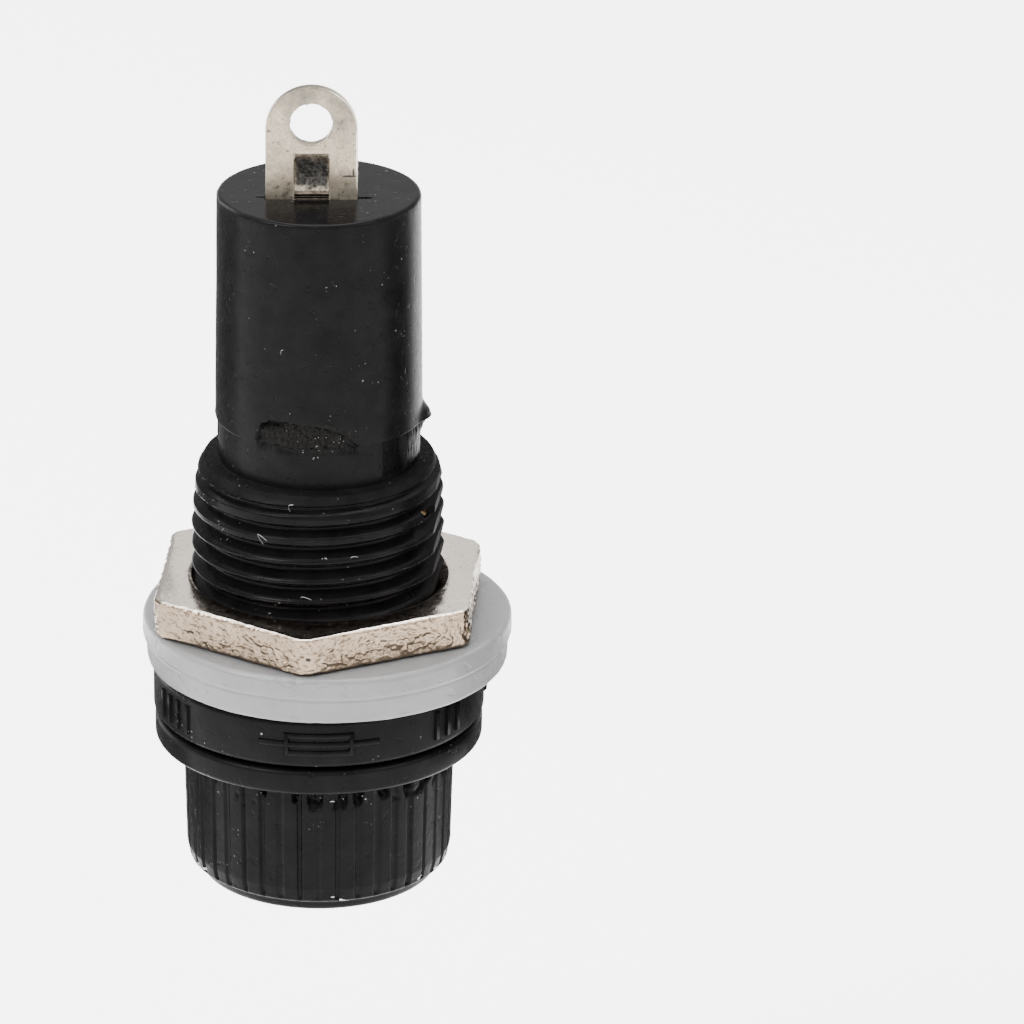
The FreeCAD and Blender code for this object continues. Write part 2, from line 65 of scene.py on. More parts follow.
def make_camera():
    elevation = math.radians(22.25)
    turn_right = math.radians(1.602)
    distance = 0.325
    target = Vector((0.0, 0.0, 7.27 * MM))
    data = bpy.data.cameras.new("camera")
    data.lens = 242.6
    data.sensor_width = 36.0
    data.clip_start = 0.01
    data.clip_end = 20.0
    camera = add_object("camera", data)
    camera.location = target + Vector((0.0, -math.cos(elevation), math.sin(elevation))) * distance
    facing = Matrix.Rotation(math.pi / 2.0 - elevation, 3, "X")
    camera.rotation_euler = (facing @ Matrix.Rotation(-turn_right, 3, "Y")).to_euler()
    bpy.context.scene.camera = camera


def add_object(name, data):
    thing = bpy.data.objects.new(name, data)
    bpy.context.scene.collection.objects.link(thing)
    return thing


def area_light(name, place, aim, size, power):
    data = bpy.data.lights.new(name, "AREA")
    data.shape = "RECTANGLE"
    data.size = size[0]
    data.size_y = size[1]
    data.energy = power
    lamp = add_object(name, data)
    lamp.location = place
    direction = Vector(aim) - Vector(place)
    lamp.rotation_euler = direction.to_track_quat("-Z", "Y").to_euler()


def make_world():
    """Dim near the horizon and bright overhead, like a tent with its top open."""
    world = bpy.data.worlds.new("studio")
    world.use_nodes = True
    tree = world.node_tree
    place = tree.nodes.new("ShaderNodeTexCoord")
    parts = tree.nodes.new("ShaderNodeSeparateXYZ")
    ramp = tree.nodes.new("ShaderNodeMapRange")
    ramp.interpolation_type = "SMOOTHSTEP"
    for label, number in (("From Min", 0.42), ("From Max", 0.78), ("To Min", 1.2), ("To Max", 3.2)):
        ramp.inputs[label].default_value = number
    tree.links.new(place.outputs["Generated"], parts.inputs["Vector"])
    tree.links.new(parts.outputs["Z"], ramp.inputs["Value"])
    background = tree.nodes["Background"]
    background.inputs["Color"].default_value = (1.0, 1.0, 1.0, 1.0)
    tree.links.new(ramp.outputs["Result"], background.inputs["Strength"])
    bpy.context.scene.world = world


def make_lights():
    aim = (0.0, 0.0, 0.008)
    area_light("top", (0.0, 0.10, 0.42), aim, (0.30, 0.30), 3.0)
    area_light("key", (-0.26, -0.20, 0.30), aim, (0.20, 0.20), 3.0)
    area_light("fill", (0.30, -0.16, 0.26), aim, (0.16, 0.20), 1.0)
    area_light("back_left", (-0.26, 0.20, 0.14), aim, (0.16, 0.20), 1.0)


def make_floor():
    """Below the cap's whole travel, so that the cap is still seen when it is drawn out."""
    mesh = bpy.data.meshes.new("floor")
    half = 3.0
    low = cad_box[0][2] - CAP_TRAVEL * MM - 0.0005
    mesh.from_pydata([(-half, -half, low), (half, -half, low), (half, half, low), (-half, half, low)],
                     [], [(0, 1, 2, 3)])
    floor = add_object("floor", mesh)
    material, shader = matt_material("floor_paper", 0.95)
    shader.inputs["Specular IOR Level"].default_value = 0.1
    shader.inputs["Emission Color"].default_value = (1.0, 1.0, 1.0, 1.0)
    shader.inputs["Emission Strength"].default_value = 1.5
    mesh.materials.append(material)


def make_flags():
    """Dark and grey cards round the object, seen only as soft bands on the plastic."""
    for name, tone, size, place, turn in (
            ("right_flag", 0.01, (3.0, 17.0, 29.0), (0.0217, 0.0013, 0.004), 10.0),
            ("left_flag", 0.16, (3.0, 22.0, 17.0), (-0.0156, 0.0109, 0.0115), 145.0),
            ("low_left_flag", 0.10, (3.0, 26.0, 12.5), (-0.0156, 0.0109, -0.0118), 145.0),
            ("low_right_flag", 0.10, (3.0, 22.0, 12.5), (0.0120, 0.0148, -0.0118), 51.0)):
        material = matt_material(name + "_felt", tone)[0]
        matrix = Matrix.Translation(place) @ Matrix.Rotation(math.radians(turn), 4, "Z")
        flag = box_object(name, size, matrix)
        flag.data.materials.append(material)
        flag.visible_camera = False
        flag.visible_diffuse = False
        flag.visible_shadow = False


# ---- material tools

def new_material(name):
    material = bpy.data.materials.new(name)
    material.use_nodes = True
    tree = material.node_tree
    return material, tree.nodes["Principled BSDF"], tree


def matt_material(name, tone):
    material, shader, _ = new_material(name)
    shader.inputs["Base Color"].default_value = (tone, tone, tone, 1.0)
    shader.inputs["Roughness"].default_value = 0.9
    return material, shader


class Surface:
    """Short ways to add texture nodes that all read the piece's own coordinates, in metres."""

    def __init__(self, name):
        self.material, self.shader, self.tree = new_material(name)
        self.place = self.tree.nodes.new("ShaderNodeTexCoord").outputs["Object"]

    def feed(self, item, socket):
        """Sets a socket to a number or colour, or links another node's output to it."""
        if isinstance(item, bpy.types.NodeSocket):
            self.tree.links.new(item, socket)
        else:
            socket.default_value = item

    def value(self, name, number):
        self.shader.inputs[name].default_value = number

    def node(self, kind, **inputs):
        node = self.tree.nodes.new("ShaderNode" + kind)
        for label, item in inputs.items():
            self.feed(item, node.inputs[label])
        return node

    def stretch(self, scale):
        return self.node("Mapping", Scale=scale, Vector=self.place).outputs["Vector"]

    def noise(self, scale, detail=4.0, rough=0.55, vector=None):
        return self.node("TexNoise", Scale=scale, Detail=detail, Roughness=rough,
                         Vector=vector or self.place).outputs["Fac"]

    def cells(self, scale):
        return self.node("TexVoronoi", Scale=scale, Vector=self.place).outputs["Distance"]

    def math(self, kind, *items):
        node = self.node("Math")
        node.operation = kind
        for index, item in enumerate(items):
            self.feed(item, node.inputs[index])
        return node.outputs[0]

    def both(self, *masks):
        return reduce(lambda a, b: self.math("MULTIPLY", a, b), masks)

    def most(self, *masks):
        return reduce(lambda a, b: self.math("MAXIMUM", a, b), masks)

    def gap(self, source, number):
        return self.math("ABSOLUTE", self.math("SUBTRACT", source, number))

    def remap(self, source, low, high, new_low=0.0, new_high=1.0):
        return self.node("MapRange", **{"Value": source, "From Min": low, "From Max": high,
                                        "To Min": new_low, "To Max": new_high}).outputs["Result"]

    def fade(self, source, low, high):
        return self.remap(source, low, high, 1.0, 0.0)

    def mottle(self, new_low, new_high, *noise):
        """Noise spread over its usual range, from one number to another."""
        return self.remap(self.noise(*noise), 0.3, 0.7, new_low, new_high)

    def blend(self, factor, first, second):
        """Mix two colours; each is a colour or an output."""
        node = self.node("Mix")
        node.data_type = "RGBA"
        self.feed(factor, node.inputs["Factor"])
        for socket, item in ((node.inputs[6], first), (node.inputs[7], second)):
            self.feed(item + (1.0,) if isinstance(item, tuple) else item, socket)
        return node.outputs[2]

    def bump(self, height, distance, strength=1.0, before=None):
        node = self.node("Bump", Strength=strength, Distance=distance, Height=height)
        if before is not None:
            self.feed(before, node.inputs["Normal"])
        return node.outputs["Normal"]

    def along(self, axis):
        """The piece's own X, Y or Z, in metres."""
        return self.node("SeparateXYZ", Vector=self.place).outputs[axis]

    def distance_to(self, point, scale=(1.0, 0.0, 1.0)):
        """Distance in metres from a point, counting each axis by its scale."""
        shift = tuple(-p * k for p, k in zip(point, scale))
        node = self.node("Mapping", Location=shift, Scale=scale, Vector=self.place)
        length = self.node("VectorMath")
        length.operation = "LENGTH"
        self.feed(node.outputs["Vector"], length.inputs[0])
        return length.outputs["Value"]

    def mix_values(self, factor, first, second):
        node = self.node("Mix")
        node.data_type = "FLOAT"
        for index, item in ((0, factor), (2, first), (3, second)):
            self.feed(item, node.inputs[index])
        return node.outputs[0]

    def veins(self, scale, width, strength):
        """Thin wandering lines, strongest along their middle."""
        return self.remap(self.gap(self.noise(scale, 5.0, 0.6), 0.5), 0.0, width, strength, 0.0)

    def finish(self, colour, roughness, normal=None):
        """The colour is None where it is set on the shader itself."""
        for label, item in (("Base Color", colour), ("Roughness", roughness), ("Normal", normal)):
            if item is not None:
                self.feed(item, self.shader.inputs[label])
        return self.material


def make_phenolic():
    s = Surface("black_phenolic")
    height = s.along("Z")
    tone = s.blend(s.mottle(0.0, 1.0, 900.0, 5.0), (0.0018, 0.0017, 0.0019), (0.0038, 0.0036, 0.0038))
    dots = s.fade(s.cells(2300.0), 0.05, 0.10)
    crumbs = s.remap(s.noise(5200.0, 2.0, 0.4), 0.70, 0.74)
    sparse = s.remap(s.noise(700.0, 3.0), 0.58, 0.68)
    dust = s.both(s.most(dots, crumbs), sparse)
    rim = s.both(s.remap(height, -0.0103, -0.0102), s.fade(height, -0.0098, -0.0097))
    collar = s.both(s.remap(height, -0.0049, -0.0048, 0.0, 0.91), s.fade(height, -0.0041, -0.0040))
    chips = s.noise(1.0, 1.0, 0.4, s.stretch((1300.0, 1300.0, 3400.0)))
    flakes = s.remap(s.both(s.most(rim, collar), chips), 0.665, 0.68, 0.0, 0.8)
    marks = s.most(s.both(dust, 0.35), flakes)
    body_rough = s.mottle(0.26, 0.40, 2600.0, 6.0, 0.6)
    face_rough = s.mottle(0.10, 0.20, 1500.0, 4.0)
    thread = s.both(s.remap(height, 0.0001, 0.0003), s.fade(height, 0.0099, 0.0103))
    shine = s.most(s.remap(height, 0.02322, 0.02326), s.both(thread, 0.7))
    smooth = s.mix_values(shine, body_rough, face_rough)
    scar = s.both(s.fade(s.distance_to((-0.0005, 0.0, 0.01285), (1.0, 0.0, 3.1)), 0.0021, 0.0025),
                  s.fade(s.along("Y"), -0.0001, 0.0))
    thread_end = s.both(s.remap(height, 0.0097, 0.0101), s.fade(height, 0.0103, 0.0104))
    crust = s.blend(s.remap(s.noise(9000.0, 3.0, 0.6), 0.35, 0.65), (0.003, 0.003, 0.003),
                    (0.0080, 0.0075, 0.0070))
    specks = s.both(s.fade(s.cells(5200.0), 0.10, 0.16),
                    s.remap(s.noise(2600.0, 3.0), 0.48, 0.58, 0.0, 0.35))
    dusted = s.most(marks, s.both(scar, specks))
    colour = s.blend(dusted, s.blend(scar, tone, crust), (0.42, 0.41, 0.40))
    stub = s.both(s.remap(s.along("X"), 0.0044, 0.0058),
                  s.both(s.remap(height, 0.0001, 0.0002), s.fade(height, 0.0103, 0.0104)))
    rough_part = s.most(scar, stub, s.both(thread_end, 0.8))
    rough = s.mix_values(rough_part, smooth, s.remap(height, 0.0, 1.0, 0.8, 0.8))
    grain = s.bump(s.noise(9000.0, 4.0, 0.6), 0.000010, 0.45)
    pits = s.bump(s.remap(s.noise(2400.0, 2.0), 0.28, 0.36, -1.0, 0.0), 0.00003, 0.5, grain)
    waves = s.bump(s.noise(500.0, 3.0), 0.00005, 0.3, pits)
    s.value("Specular IOR Level", 0.036)
    return s.finish(colour, rough, waves)


def make_dust():
    s = Surface("dust")
    colour = s.blend(s.mottle(0.0, 1.0, 4000.0, 2.0), (0.24, 0.235, 0.23), (0.14, 0.135, 0.13))
    return s.finish(colour, s.mottle(0.6, 0.8, 3000.0))


def make_lug_tin():
    """Tin on the end lug: warm and mottled, with painted shade round the arch near the hole and at the
    lower right, painted highlights along the foot, the right of the rim and the right side, small pits
    and one scored mark.
    """
    s = Surface("end_lug_tin")
    stain = s.remap(s.noise(520.0, 6.0, 0.62), 0.36, 0.72)
    base = s.blend(stain, (0.330, 0.276, 0.208), (0.140, 0.117, 0.090))
    # Painted shade: darker tin round the arch near the hole and at the lower right, broken up by clouds.
    arch_left = s.remap(s.distance_to((-0.00100, 0.0, 0.02800)), 0.0004, 0.0017, 0.9, 0.0)
    arch_right = s.fade(s.distance_to((0.00110, 0.0, 0.02760)), 0.0003, 0.0016)
    around = s.most(arch_left, arch_right)
    low_right = s.remap(s.distance_to((0.00140, 0.0, 0.02375)), 0.0001, 0.0008, 0.7, 0.0)
    clouds = s.remap(s.noise(1300.0, 5.0), 0.35, 0.65)
    shade = s.both(s.most(around, low_right), clouds)
    grains = s.remap(s.noise(6800.0, 3.0, 0.6), 0.42, 0.62, 0.0, 0.38)
    # The painted shade darkens the tin here, before the grains go on.
    speckled = s.blend(grains, s.blend(shade, base, (0.085, 0.082, 0.070)), (0.100, 0.088, 0.068))
    # Painted highlights: a lighter band along the foot, a bright line on the right of the rim arch and on
    # the right side.
    foot = s.remap(s.along("Z"), 0.02340, 0.02410, 0.65, 0.0)
    rim = s.both(s.remap(s.distance_to((LUG_SHIFT * MM, 0.0, 0.0266)), 0.00206, 0.00210),
                 s.both(s.remap(s.along("Z"), 0.0265, 0.0267),
                        s.remap(s.along("X"), 0.0000, 0.0010, 0.0, 0.8)))
    side = s.both(s.remap(s.along("X"), 0.00169, 0.00172, 0.0, 0.9), s.fade(s.along("Z"), 0.0265, 0.0267))
    bright = s.most(foot, s.most(rim, side))
    # The painted highlights are blended in as pale tin.
    tin_with_painted_highlights = s.blend(bright, speckled, (0.720, 0.640, 0.520))
    pits = s.remap(s.noise(5200.0, 3.0, 0.5), 0.64, 0.72, 0.0, 0.85)
    stroke = s.fade(s.distance_to((0.00140, 0.0, 0.02444), (1.0, 0.0, 6.5)), 0.00030, 0.00036)
    tick = s.fade(s.distance_to((0.00158, 0.0, 0.02462), (4.0, 0.0, 1.0)), 0.00018, 0.00022)
    score = s.most(stroke, tick)
    colour = s.blend(s.most(pits, score), tin_with_painted_highlights, (0.04, 0.035, 0.03))
    roughness = s.mottle(0.24, 0.42, 3000.0, 5.0)
    drawn = s.bump(s.noise(1.0, 4.0, 0.6, s.stretch((5200.0, 5200.0, 1500.0))), 0.000012, 0.7)
    broad = s.bump(s.noise(800.0, 4.0), 0.00006, 0.35, drawn)
    s.value("Metallic", 1.0)
    return s.finish(colour, roughness, broad)


def make_tongue_tin():
    """The bent tongue: grainy and painted near black as a dark reflection, painted lit where it fades
    into the lug at its top, at its foot and at its sides, with painted shade in the folds at its foot.
    """
    s = Surface("bent_tin")
    height = s.along("Z")
    grains = s.remap(s.noise(6500.0, 4.0, 0.65), 0.36, 0.64)
    # Painted light: dark is a painted dark reflection over most of the tongue, lit is a painted lit copy
    # of the same tin.
    dark = s.blend(grains, (0.012, 0.012, 0.012), (0.085, 0.080, 0.072))
    lit = s.blend(grains, (0.160, 0.135, 0.102), (0.380, 0.325, 0.250))
    drift = s.math("ADD", height, s.mottle(-0.00016, 0.00016, 2500.0, 3.0))
    top = s.remap(drift, 0.02506, 0.02546, 0.0, 0.9)
    foot = s.remap(drift, 0.02374, 0.02390, 0.75, 0.0)
    across = s.gap(s.along("X"), LUG_SHIFT * MM)
    ragged = s.math("ADD", across, s.mottle(-0.00010, 0.00010, 3600.0, 3.0))
    sides = s.remap(ragged, 0.00064, 0.00078, 0.0, 0.8)
    # Painted shade in the two folds at the foot.
    fold_shade = s.fade(s.gap(height, 0.02349), 0.00003, 0.00006)
    last_fold_shade = s.fade(s.gap(height, 0.02339), 0.00002, 0.00004)
    # bare is the painted dark tin, turned to the painted lit tin at the top, the foot and the sides.
    bare = s.blend(s.most(top, s.most(foot, sides)), dark, lit)
    colour = s.blend(s.most(fold_shade, last_fold_shade), bare, (0.006, 0.005, 0.004))
    roughness = s.mottle(0.34, 0.60, 3000.0, 5.0)
    normal = s.bump(s.noise(6500.0, 5.0, 0.6), 0.00003, 0.8)
    s.value("Metallic", 1.0)
    return s.finish(colour, roughness, normal)


def make_nut_plate():
    """Nickel on the nut: satin on the flat top, bright and stained on the torn sides, with painted shade
    darkening the sides towards the left and painted shade in thin crease lines.
    """
    s = Surface("nut_plate")
    top = s.remap(s.along("Z"), 0.00424, 0.00430)
    stain = s.remap(s.noise(450.0, 6.0, 0.65), 0.35, 0.75)
    specks = s.remap(s.noise(4200.0, 3.0, 0.5), 0.62, 0.75, 0.0, 0.8)
    # Painted shade: the torn sides darken towards the left.
    left_shade = s.remap(s.along("X"), -0.0012, -0.0004, 0.35, 0.0)
    bare = s.blend(stain, (0.285, 0.213, 0.150), (0.180, 0.132, 0.093))
    sides = s.blend(left_shade, bare, (0.110, 0.083, 0.060))
    flat = s.blend(stain, (0.930, 0.835, 0.735), (0.800, 0.705, 0.605))
    plate_colour = s.blend(specks, s.blend(top, sides, flat), (0.13, 0.10, 0.075))
    # Painted shade in thin crease lines on the torn sides; the pit is a dark mark.
    creases = s.both(s.veins(1300.0, 0.009, 0.18), s.fade(top, 0.0, 1.0))
    pit = s.fade(s.distance_to((-0.00050, 0.0, 0.00330), (1.0, 0.0, 1.3)), 0.00010, 0.00016)
    colour = s.blend(s.most(creases, pit), plate_colour, (0.030, 0.024, 0.020))
    fine_rough = s.mottle(0.09, 0.20, 3000.0, 5.0)
    fine = s.bump(s.noise(5200.0, 5.0, 0.65), 0.00004, s.remap(top, 0.0, 1.0, 0.85, 0.12))
    flaky = s.bump(s.cells(4200.0), 0.00004, s.remap(top, 0.0, 1.0, 0.6, 0.03), fine)
    broad = s.bump(s.noise(700.0, 4.0), 0.00008, 0.3, flaky)
    s.value("Metallic", 1.0)
    return s.finish(colour, fine_rough, broad)


def make_nickel(name, tint=(0.44, 0.375, 0.315), dark=(0.13, 0.10, 0.075), rough=(0.16, 0.27), grit=1.0):
    s = Surface(name)
    stain = s.remap(s.noise(450.0, 6.0, 0.65), 0.35, 0.75)
    pits = s.remap(s.noise(4200.0, 3.0, 0.5), 0.62, 0.75, 0.0, 0.8)
    colour = s.blend(pits, s.blend(stain, tint, tuple(0.5 * (a + b) for a, b in zip(tint, dark))), dark)
    roughness = s.mottle(rough[0], rough[1], 3000.0, 5.0)
    fine = s.bump(s.noise(7000.0, 5.0, 0.6), 0.000012, 0.6 * grit)
    broad = s.bump(s.noise(700.0, 4.0), 0.00008, 0.35 * grit, fine)
    s.value("Metallic", 1.0)
    return s.finish(colour, roughness, broad)


def make_brass():
    s = Surface("bright_brass")
    stain = s.remap(s.noise(500.0, 5.0), 0.35, 0.7)
    colour = s.blend(stain, (0.33, 0.190, 0.060), (0.22, 0.120, 0.036))
    roughness = s.mottle(0.18, 0.34, 2500.0, 4.0)
    turned = s.bump(s.noise(1.0, 3.0, 0.5, s.stretch((300.0, 300.0, 9000.0))), 0.00001, 0.5)
    s.value("Metallic", 1.0)
    return s.finish(colour, roughness, turned)


def make_nylon():
    s = Surface("natural_nylon")
    cloud = s.mottle(0.0, 1.0, 350.0, 4.0)
    colour = s.blend(cloud, (0.100, 0.101, 0.103), (0.124, 0.124, 0.125))
    roughness = s.mottle(0.30, 0.45, 1800.0, 4.0)
    grain = s.bump(s.noise(3500.0, 4.0), 0.000015, 0.4)
    nicks = s.bump(s.remap(s.noise(2100.0, 2.0, 0.4), 0.64, 0.70, 0.0, -1.0), 0.00004, 0.6, grain)
    waves = s.bump(s.noise(420.0, 3.0), 0.0001, 0.3, nicks)
    s.value("Subsurface Weight", 0.35)
    s.value("Subsurface Radius", (1.0, 1.0, 1.0))
    s.value("Subsurface Scale", 0.0008)
    s.value("IOR", 1.5)
    return s.finish(colour, roughness, waves)


def make_glass():
    s = Surface("clear_glass")
    s.value("Base Color", (0.97, 0.99, 0.98, 1.0))
    s.value("Transmission Weight", 1.0)
    s.value("IOR", 1.5)
    roughness = s.mottle(0.0, 0.03, 900.0, 3.0)
    draw = s.bump(s.noise(1.0, 2.0, 0.5, s.stretch((500.0, 500.0, 60.0))), 0.00001, 0.3)
    return s.finish(None, roughness, draw)


def make_solder():
    s = Surface("dull_solder")
    colour = s.blend(s.mottle(0.0, 1.0, 1200.0, 5.0), (0.62, 0.62, 0.63), (0.40, 0.40, 0.42))
    roughness = s.mottle(0.25, 0.5, 2000.0, 4.0)
    lumps = s.bump(s.noise(1600.0, 4.0), 0.00005, 0.6)
    s.value("Metallic", 1.0)
    return s.finish(colour, roughness, lumps)


# ---- mesh tools

def lattice_noise(points, cell, seed):
    """Smooth noise from -1 to 1 at points in mm, with features about one cell wide."""
    q = points / cell
    base = np.floor(q).astype(np.int64)
    part = q - base
    part = part * part * (3.0 - 2.0 * part)
    total = np.zeros(points.shape[:-1])
    for dx in (0, 1):
        for dy in (0, 1):
            for dz in (0, 1):
                key = ((base[..., 0] + dx) * 73856093) ^ ((base[..., 1] + dy) * 19349663)
                key = key ^ ((base[..., 2] + dz) * 83492791) ^ (seed * 2654435)
                key = (key ^ (key >> 13)) * 1274126177
                key = key & 0x7FFFFFFF
                level = ((key ^ (key >> 15)) & 0xFFFF) / 65535.0
                weight = (part[..., 0] if dx else 1.0 - part[..., 0])
                weight = weight * (part[..., 1] if dy else 1.0 - part[..., 1])
                weight = weight * (part[..., 2] if dz else 1.0 - part[..., 2])
                total = total + weight * level
    return total * 2.0 - 1.0


def to_points(radius, turn, height):
    return np.stack([radius * np.cos(turn), radius * np.sin(turn), height], axis=-1)


def smoothstep(low, high, x):
    t = np.clip((x - low) / (high - low), 0.0, 1.0)
    return t * t * (3.0 - 2.0 * t)


def rounded(points, closed=False, segments=6):
    """Rows (radius, height) along corners (radius, height, rounding), in mm."""
    rows = []
    count = len(points)
    for index, (r, z, rounding) in enumerate(points):
        here = np.array([r, z])
        if rounding <= 0.0 or (not closed and index in (0, count - 1)):
            rows.append(here)
            continue
        before = np.array(points[index - 1][:2]) - here
        after = np.array(points[(index + 1) % count][:2]) - here
        before = before / np.linalg.norm(before)
        after = after / np.linalg.norm(after)
        half = math.acos(float(np.clip(before @ after, -1.0, 1.0))) / 2.0
        inward = (before + after) / np.linalg.norm(before + after)
        centre = here + inward * rounding / math.sin(half)
        reach = rounding / math.tan(half)
        start = here + before * reach - centre
        end = here + after * reach - centre
        first = math.atan2(start[1], start[0])
        sweep = math.atan2(end[1], end[0]) - first
        sweep = (sweep + math.pi) % (2.0 * math.pi) - math.pi
        for step in range(segments + 1):
            angle = first + sweep * step / segments
            rows.append(centre + rounding * np.array([math.cos(angle), math.sin(angle)]))
    return rows


def refined(rows, step, low, high, closed=False):
    """Divide the runs that lie between two heights into steps no longer than one length."""
    result = []
    count = len(rows)
    for index in range(count if closed else count - 1):
        a = rows[index]
        b = rows[(index + 1) % count]
        result.append(a)
        length = float(np.linalg.norm(b - a))
        if min(a[1], b[1]) >= low - 1e-6 and max(a[1], b[1]) <= high + 1e-6 and length > step:
            pieces = int(math.ceil(length / step))
            for part in range(1, pieces):
                result.append(a + (b - a) * part / pieces)
    if not closed:
        result.append(rows[-1])
    return result


def smooth(mesh, sharp):
    mesh.shade_smooth()
    mesh.set_sharp_from_angle(angle=math.radians(sharp))


def evaluated_mesh(thing):
    bpy.context.view_layer.update()
    graph = bpy.context.evaluated_depsgraph_get()
    return bpy.data.meshes.new_from_object(thing.evaluated_get(graph))


def swept_faces(steps, sides):
    """Faces of a closed tube whose rings of vertices follow each other."""
    faces = []
    for step in range(steps):
        for side in range(sides):
            a = step * sides + side
            b = step * sides + (side + 1) % sides
            faces.append((a, b, b + sides, a + sides))
    faces.append(tuple(reversed(range(sides))))
    faces.append(tuple(steps * sides + side for side in range(sides)))
    return faces


def mesh_object(name, vertices, faces, sharp=40.0):
    mesh = bpy.data.meshes.new(name)
    mesh.from_pydata(vertices, [], faces)
    mesh.update()
    smooth(mesh, sharp)
    return add_object(name, mesh)


def lathe(name, rows, count, shape=None, closed=False, sharp=40.0, centre=(0.0, 0.0)):
    """Turn rows about Z. A first or last row at radius 0 becomes a point on the axis."""
    rows = np.array(rows, dtype=float)
    tips = []
    if not closed:
        if abs(rows[0][0]) < 1e-9:
            tips.append(("first", rows[0][1]))
            rows = rows[1:]
        if abs(rows[-1][0]) < 1e-9:
            tips.append(("last", rows[-1][1]))
            rows = rows[:-1]
    theta = np.linspace(0.0, 2.0 * math.pi, count, endpoint=False)
    radius, turn = np.meshgrid(rows[:, 0], theta, indexing="ij")
    height = np.meshgrid(rows[:, 1], theta, indexing="ij")[0]
    if shape is not None:
        radius, height = shape(radius, turn, height)
    x = radius * np.cos(turn) + centre[0]
    y = radius * np.sin(turn) + centre[1]
    vertices = (np.stack([x, y, height], axis=-1).reshape(-1, 3) * MM).tolist()
    levels = len(rows)
    column = np.arange(count)
    following = (column + 1) % count
    faces = []
    for level in range(levels if closed else levels - 1):
        low = level * count
        high = ((level + 1) % levels) * count
        faces.extend(np.stack([low + column, low + following, high + following, high + column],
                              axis=-1).tolist())
    for which, level_height in tips:
        vertices.append([centre[0] * MM, centre[1] * MM, level_height * MM])
        tip = len(vertices) - 1
        ring = 0 if which == "first" else (levels - 1) * count
        for index in range(count):
            a = ring + index
            b = ring + (index + 1) % count
            faces.append([a, tip, b] if which == "first" else [a, b, tip])
    return mesh_object(name, vertices, faces, sharp)


def join(name, things, sharp=40.0):
    """One object from several, in place."""
    vertices = []
    faces = []
    for thing in things:
        offset = len(vertices)
        matrix = thing.matrix_world
        vertices.extend([tuple(matrix @ v.co) for v in thing.data.vertices])
        faces.extend([[offset + i for i in f.vertices] for f in thing.data.polygons])
        bpy.data.objects.remove(thing, do_unlink=True)
    return mesh_object(name, vertices, faces, sharp)


def box_object(name, size, matrix):
    x, y, z = (0.5 * s * MM for s in size)
    corners = [(sx * x, sy * y, sz * z) for sz in (-1, 1) for sy in (-1, 1) for sx in (-1, 1)]
    faces = [(0, 2, 3, 1), (4, 5, 7, 6), (0, 1, 5, 4), (2, 6, 7, 3), (0, 4, 6, 2), (1, 3, 7, 5)]
    return mesh_object(name, [tuple(matrix @ Vector(c)) for c in corners], faces)


def cut_away(thing, cutters):
    for cutter in cutters:
        change = thing.modifiers.new("cut", "BOOLEAN")
        change.operation = "DIFFERENCE"
        change.solver = "EXACT"
        change.object = cutter
    mesh = evaluated_mesh(thing)
    thing.modifiers.clear()
    thing.data = mesh
    for cutter in cutters:
        bpy.data.objects.remove(cutter, do_unlink=True)
    return thing


def plate(name, outlines, thickness, edge, matrix):
    """A flat sheet from closed outlines in mm, the later ones being holes, with rounded edges."""
    data = bpy.data.curves.new(name, "CURVE")
    data.dimensions = "2D"
    data.fill_mode = "BOTH"
    data.extrude = (thickness / 2.0 - edge) * MM
    data.bevel_depth = edge * MM
    data.bevel_resolution = 2
    data.offset = -edge * MM
    for outline in outlines:
        spline = data.splines.new("POLY")
        spline.points.add(len(outline) - 1)
        for point, (x, y) in zip(spline.points, outline):
            point.co = (x * MM, y * MM, 0.0, 1.0)
        spline.use_cyclic_u = True
    temporary = add_object(name + "_curve", data)
    mesh = evaluated_mesh(temporary)
    bpy.data.objects.remove(temporary, do_unlink=True)
    mesh.transform(matrix)
    smooth(mesh, 28.0)
    return add_object(name, mesh)


def arc(centre, radius, first, last, count):
    points = []
    for index in range(count + 1):
        angle = math.radians(first + (last - first) * index / count)
        points.append((centre[0] + radius * math.cos(angle), centre[1] + radius * math.sin(angle)))
    return points


def side_matrix():
    """Places a sheet drawn across and along the slanted side strip."""
    outward = Vector((math.cos(SIDE_BEARING), math.sin(SIDE_BEARING), 0.0))
    across = Vector((-math.sin(SIDE_BEARING), math.cos(SIDE_BEARING), 0.0))
    along = outward * math.sin(SIDE_SLANT) + Vector((0.0, 0.0, math.cos(SIDE_SLANT)))
    normal = across.cross(along)
    matrix = Matrix((across, along, normal)).transposed().to_4x4()
    matrix.translation = (outward * 3.6 + Vector((0.0, 0.0, 9.0))) * MM
    return matrix


# ---- holder body

# Radii, heights and offsets in mm
CREST = 6.0
FLAT = 5.7
BEZEL = 7.85
BEZEL_FRONT = -2.45
BORE = 4.95
THREAD_END = 10.25
STEP = 12.3
TUBE_END = 23.3
LUG_SHIFT = -0.34
LUG_Y = -0.925
LUG_HOLE_Z = 26.95
NUT_ACROSS = 14.9
NUT_CORNER = 8.46


def turned_from(turn, bearing):
    """Angle in radians, within half a turn, from a bearing in degrees."""
    return (turn - math.radians(bearing) + math.pi) % (2.0 * math.pi) - math.pi


